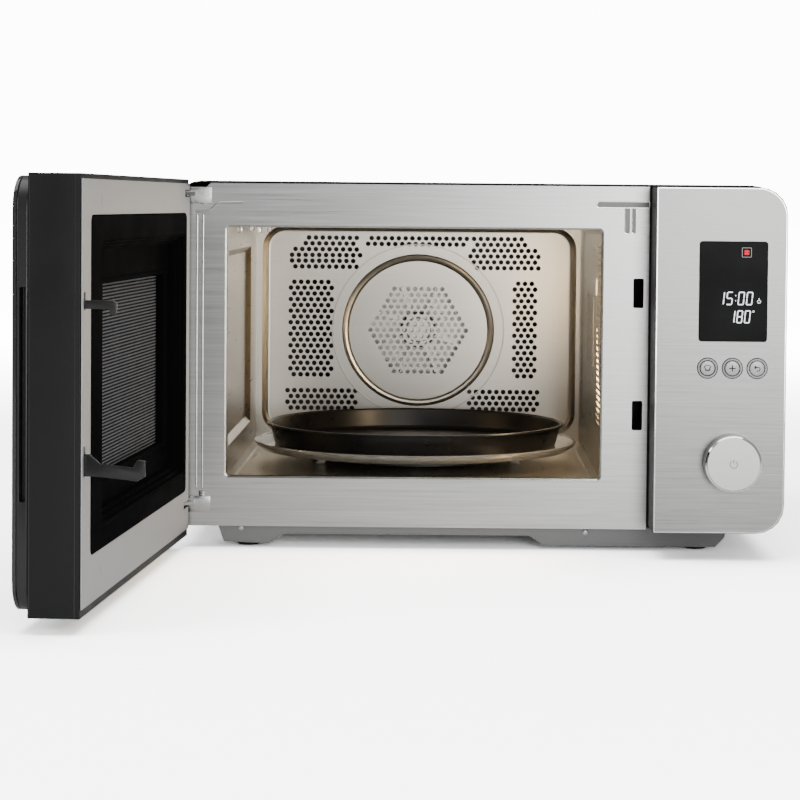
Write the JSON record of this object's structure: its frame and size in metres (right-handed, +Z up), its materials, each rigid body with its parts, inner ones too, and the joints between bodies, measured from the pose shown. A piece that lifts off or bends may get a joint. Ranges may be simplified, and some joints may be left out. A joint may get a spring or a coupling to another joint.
{
  "type": "microwave oven",
  "caption": "Countertop microwave oven with side-hinged door open, latch hooks, perforated rear wall, glass turntable, black pan, display panel, keys and knob.",
  "frame": {"origin": "on the table under the middle of the whole object with its door open", "axes": "+X to the control panel's side, +Y to the back, +Z up"},
  "size_m": [0.6334, 0.9238, 0.345],
  "materials": {
    "pan_enamel": "satin",
    "dark_grey_paint": "satin",
    "brushed_steel": "brushed",
    "satin_metal": "satin",
    "zinc_steel": "satin",
    "black_paint": "satin",
    "black_plastic": "matte",
    "dark_glass": "gloss",
    "clear_glass": "gloss",
    "cavity_steel": "satin",
    "motor_steel": "satin",
    "board_green": "satin",
    "rubber": "matte",
    "white_plastic": "matte"
  },
  "bodies": {
    "oven_body": {"base_pan": "dark_grey_paint", "button_bezel": "satin_metal", "capacitor": "zinc_steel", "cavity_lamp": "zinc_steel", "control_board": "board_green", "convection_heater": "cavity_steel", "convection_housing": "zinc_steel", "convection_motor": "motor_steel", "cooling_fan_motor": "motor_steel", "cooling_fan_shroud": "black_plastic", "display_window": "dark_glass", "encoder": "black_plastic", "foot_front_left": "rubber", "foot_front_right": "rubber", "foot_rear_left": "rubber", "foot_rear_right": "rubber", "front_frame": "brushed_steel", "hinge_bracket_lower": "zinc_steel", "hinge_bracket_upper": "zinc_steel", "interlock_switch_lower": "white_plastic", "interlock_switch_upper": "white_plastic", "latch_housing": "white_plastic", "magnetron": "motor_steel", "noise_filter_board": "board_green", "outer_casing": "black_paint", "oven_cavity": "cavity_steel", "panel_fascia": "brushed_steel", "panel_housing": "black_plastic", "power_inlet": "black_plastic", "rear_panel": "zinc_steel", "transformer": "motor_steel", "turntable_motor": "motor_steel", "waveguide": "zinc_steel", "waveguide_cover": "white_plastic"},
    "door": {"door_panel": "brushed_steel", "door_frame": "black_plastic", "door_fascia": "black_plastic", "door_glass": "dark_glass", "choke_cover": "black_plastic", "door_screen": "black_paint"},
    "latch": {"latch_slide": "black_plastic"},
    "coupler": {"turntable_coupler": "black_plastic"},
    "glass_plate": {"glass_turntable": "clear_glass"},
    "pan": {"baking_pan": "pan_enamel"},
    "roller_carrier": {"roller_ring": "white_plastic"},
    "roller_a": {"roller_1": "white_plastic"},
    "roller_b": {"roller_2": "white_plastic"},
    "roller_c": {"roller_3": "white_plastic"},
    "oven_fan": {"convection_fan": "cavity_steel"},
    "cool_fan": {"cooling_fan": "black_plastic"},
    "key_1": {"button_1": "satin_metal"},
    "key_2": {"button_2": "satin_metal"},
    "key_3": {"button_3": "satin_metal"},
    "selector_shaft": {"encoder_shaft": "satin_metal"},
    "selector_knob": {"knob": "satin_metal"}
  },
  "joints": [
    {"name": "door_hinge", "type": "hinge", "parent": "oven_body", "child": "door", "pos_m": [-0.24334, -0.02613, 0.18], "axis": [0, 0, -1], "range_deg": [-94, 16]},
    {"name": "latch_lift", "type": "slide", "parent": "door", "child": "latch", "axis": [0, 0, 1], "range_m": [0, 0.005], "stiffness_N_per_m": 300, "springref_m": -0.004},
    {"name": "turntable_spin", "type": "hinge", "parent": "oven_body", "child": "coupler", "pos_m": [-0.02399, 0.16187, 0.0722], "axis": [0, 0, 1], "continuous": true},
    {"name": "glass_lift", "type": "slide", "parent": "coupler", "child": "glass_plate", "axis": [0, 0, 1], "range_m": [0, 0.06]},
    {"name": "pan_lift", "type": "slide", "parent": "glass_plate", "child": "pan", "axis": [0, 0, 1], "range_m": [0, 0.08]},
    {"name": "ring_spin", "type": "hinge", "parent": "oven_body", "child": "roller_carrier", "pos_m": [-0.02399, 0.16187, 0.0722], "axis": [0, 0, 1], "continuous": true},
    {"name": "oven_fan_spin", "type": "hinge", "parent": "oven_body", "child": "oven_fan", "pos_m": [-0.02399, 0.36187, 0.1866], "axis": [0, 1, 0], "continuous": true},
    {"name": "cool_fan_spin", "type": "hinge", "parent": "oven_body", "child": "cool_fan", "pos_m": [0.23366, 0.42987, 0.23], "axis": [0, 1, 0], "continuous": true},
    {"name": "roller_a_spin", "type": "hinge", "parent": "roller_carrier", "child": "roller_a", "pos_m": [-0.03128, 0.27313, 0.0722], "axis": [-0.0654, 0.9979, 0], "continuous": true},
    {"name": "roller_b_spin", "type": "hinge", "parent": "roller_carrier", "child": "roller_b", "pos_m": [-0.1167, 0.09992, 0.0722], "axis": [-0.8315, -0.5556, 0], "continuous": true},
    {"name": "roller_c_spin", "type": "hinge", "parent": "roller_carrier", "child": "roller_c", "pos_m": [0.07601, 0.11255, 0.0722], "axis": [0.8969, -0.4423, 0], "continuous": true},
    {"name": "key_1_press", "type": "slide", "parent": "oven_body", "child": "key_1", "axis": [0, 1, 0], "range_m": [0, 0.0012], "stiffness_N_per_m": 600},
    {"name": "key_2_press", "type": "slide", "parent": "oven_body", "child": "key_2", "axis": [0, 1, 0], "range_m": [0, 0.0012], "stiffness_N_per_m": 600},
    {"name": "key_3_press", "type": "slide", "parent": "oven_body", "child": "key_3", "axis": [0, 1, 0], "range_m": [0, 0.0012], "stiffness_N_per_m": 600},
    {"name": "selector_turn", "type": "hinge", "parent": "oven_body", "child": "selector_shaft", "pos_m": [0.26726, -0.06863, 0.0912], "axis": [0, -1, 0], "continuous": true},
    {"name": "selector_press", "type": "slide", "parent": "selector_shaft", "child": "selector_knob", "axis": [0, 1, 0], "range_m": [0, 0.0015], "stiffness_N_per_m": 900}
  ],
  "couplings": [
    {"joint": "ring_spin", "follows": "turntable_spin", "ratio": 0.5}
  ]
}
